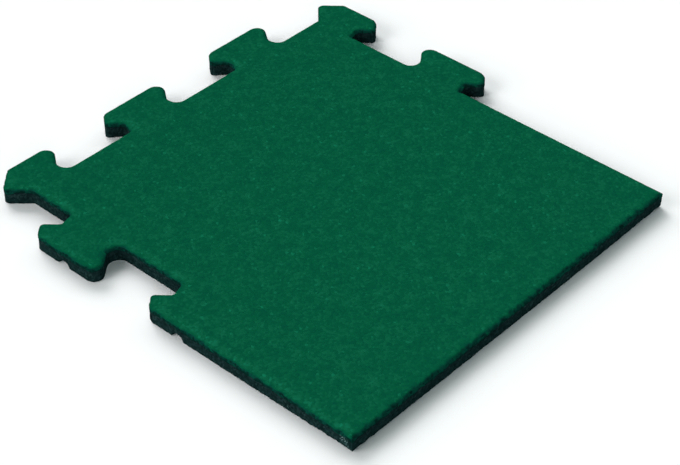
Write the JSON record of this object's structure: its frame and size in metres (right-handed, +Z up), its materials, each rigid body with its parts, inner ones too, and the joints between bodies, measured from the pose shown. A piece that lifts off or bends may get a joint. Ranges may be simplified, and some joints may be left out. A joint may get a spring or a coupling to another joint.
{
  "type": "interlocking rubber tile",
  "caption": "Square rubber border tile with dovetail interlocking edges and one straight outer edge; green wear layer on a black crumb-rubber base.",
  "frame": {"origin": "centre of the bounding box in plan, on the underside that lies on the floor", "axes": "+Z up through the wear layer; -Y towards the straight border edge; +Y towards the tabbed back edge; -X towards the notched side and +X towards the tabbed side"},
  "size_m": [0.5468, 0.5468, 0.018],
  "materials": {
    "base_rubber": "bonded black crumb rubber, rough and matt",
    "wear_rubber": "bonded green granules, finely mottled and matt"
  },
  "bodies": {
    "root": {"base_layer": "base_rubber", "wear_layer": "wear_rubber"}
  },
  "joints": []
}
